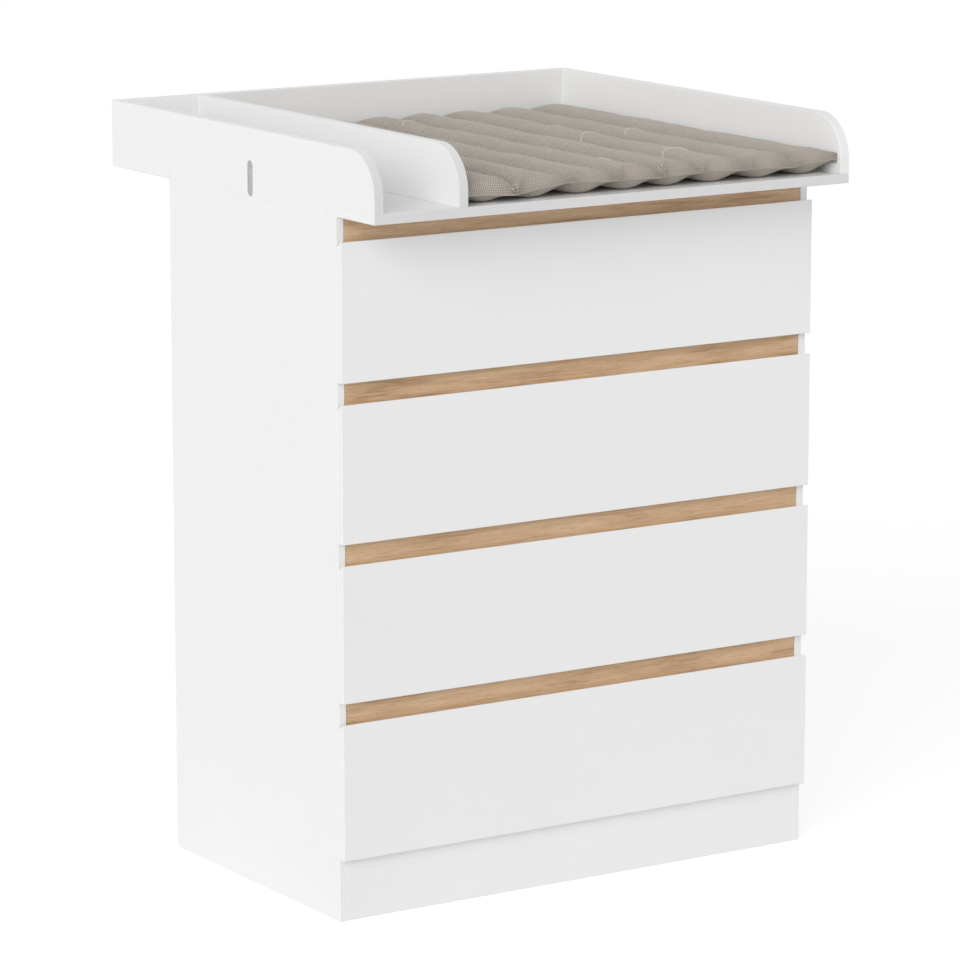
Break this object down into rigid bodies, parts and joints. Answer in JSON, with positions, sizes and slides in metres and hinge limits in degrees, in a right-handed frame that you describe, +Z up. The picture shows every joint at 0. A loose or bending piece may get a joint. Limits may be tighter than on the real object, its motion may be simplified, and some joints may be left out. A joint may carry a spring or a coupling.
{
  "type": "changing dresser",
  "caption": "Chest of sliding drawers with wood-look rails between the fronts, under an overhanging changing tray with rounded walls, a side pocket and a quilted channelled mat.",
  "frame": {"origin": "on the floor, under the middle of the changing tray's outline", "axes": "+Z up; -Y towards the user, the way the drawers open; +X to the user's right, so the tray's narrow pocket is on -X"},
  "size_m": [0.8, 0.74, 1.098],
  "materials": {
    "beech_dowel": "plain beech",
    "drawer_board": "satin white foil on particle board",
    "grey_plate": "satin grey",
    "hardboard": "smooth white lacquered hardboard",
    "mat_fabric": "waffle weave cotton, quilted",
    "oak_rail": "matt light oak veneer, grain along the rail",
    "runner_steel": "zinc plated",
    "white_panel": "satin white foil on particle board",
    "zinc_steel": "zinc plated"
  },
  "bodies": {
    "chest": {"side_panel_left": "white_panel", "side_panel_right": "white_panel", "top_shelf": "white_panel", "bottom_shelf": "white_panel", "back_panel": "hardboard", "plinth_front": "white_panel", "plinth_rear": "white_panel", "rail_top": "oak_rail", "rail_2": "oak_rail", "rail_3": "oak_rail", "rail_4": "oak_rail", "rail_dowels": "beech_dowel", "tray_screws": "zinc_steel", "cam_locks": "zinc_steel", "tray_base": "white_panel", "tray_wall_left": "white_panel", "tray_wall_right": "white_panel", "tray_wall_back": "white_panel", "tray_divider": "white_panel", "lock_plates": "grey_plate", "runner_1_cabinet": "runner_steel", "runner_2_cabinet": "runner_steel", "runner_3_cabinet": "runner_steel", "runner_4_cabinet": "runner_steel"},
    "drawer_1": {"drawer_1_front": "white_panel", "drawer_1_side_left": "drawer_board", "drawer_1_side_right": "drawer_board", "drawer_1_back": "drawer_board", "drawer_1_bottom": "hardboard", "runner_1_drawer": "runner_steel"},
    "runner_1": {"runner_1_middle": "runner_steel"},
    "drawer_2": {"drawer_2_front": "white_panel", "drawer_2_side_left": "drawer_board", "drawer_2_side_right": "drawer_board", "drawer_2_back": "drawer_board", "drawer_2_bottom": "hardboard", "runner_2_drawer": "runner_steel"},
    "runner_2": {"runner_2_middle": "runner_steel"},
    "drawer_3": {"drawer_3_front": "white_panel", "drawer_3_side_left": "drawer_board", "drawer_3_side_right": "drawer_board", "drawer_3_back": "drawer_board", "drawer_3_bottom": "hardboard", "runner_3_drawer": "runner_steel"},
    "runner_3": {"runner_3_middle": "runner_steel"},
    "drawer_4": {"drawer_4_front": "white_panel", "drawer_4_side_left": "drawer_board", "drawer_4_side_right": "drawer_board", "drawer_4_back": "drawer_board", "drawer_4_bottom": "hardboard", "runner_4_drawer": "runner_steel"},
    "runner_4": {"runner_4_middle": "runner_steel"},
    "mat": {"changing_mat": "mat_fabric"}
  },
  "joints": [
    {"name": "drawer_1_slide", "type": "slide", "parent": "chest", "child": "drawer_1", "axis": [0, -1, 0], "range_m": [0, 0.38]},
    {"name": "runner_1_slide", "type": "slide", "parent": "chest", "child": "runner_1", "axis": [0, -1, 0], "range_m": [0, 0.19]},
    {"name": "drawer_2_slide", "type": "slide", "parent": "chest", "child": "drawer_2", "axis": [0, -1, 0], "range_m": [0, 0.38]},
    {"name": "runner_2_slide", "type": "slide", "parent": "chest", "child": "runner_2", "axis": [0, -1, 0], "range_m": [0, 0.19]},
    {"name": "drawer_3_slide", "type": "slide", "parent": "chest", "child": "drawer_3", "axis": [0, -1, 0], "range_m": [0, 0.38]},
    {"name": "runner_3_slide", "type": "slide", "parent": "chest", "child": "runner_3", "axis": [0, -1, 0], "range_m": [0, 0.19]},
    {"name": "drawer_4_slide", "type": "slide", "parent": "chest", "child": "drawer_4", "axis": [0, -1, 0], "range_m": [0, 0.38]},
    {"name": "runner_4_slide", "type": "slide", "parent": "chest", "child": "runner_4", "axis": [0, -1, 0], "range_m": [0, 0.19]},
    {"name": "mat_lift", "type": "slide", "parent": "chest", "child": "mat", "axis": [0, 0, 1], "range_m": [0, 0.1]}
  ],
  "couplings": [
    {"joint": "runner_1_slide", "follows": "drawer_1_slide", "ratio": 0.5},
    {"joint": "runner_2_slide", "follows": "drawer_2_slide", "ratio": 0.5},
    {"joint": "runner_3_slide", "follows": "drawer_3_slide", "ratio": 0.5},
    {"joint": "runner_4_slide", "follows": "drawer_4_slide", "ratio": 0.5}
  ]
}
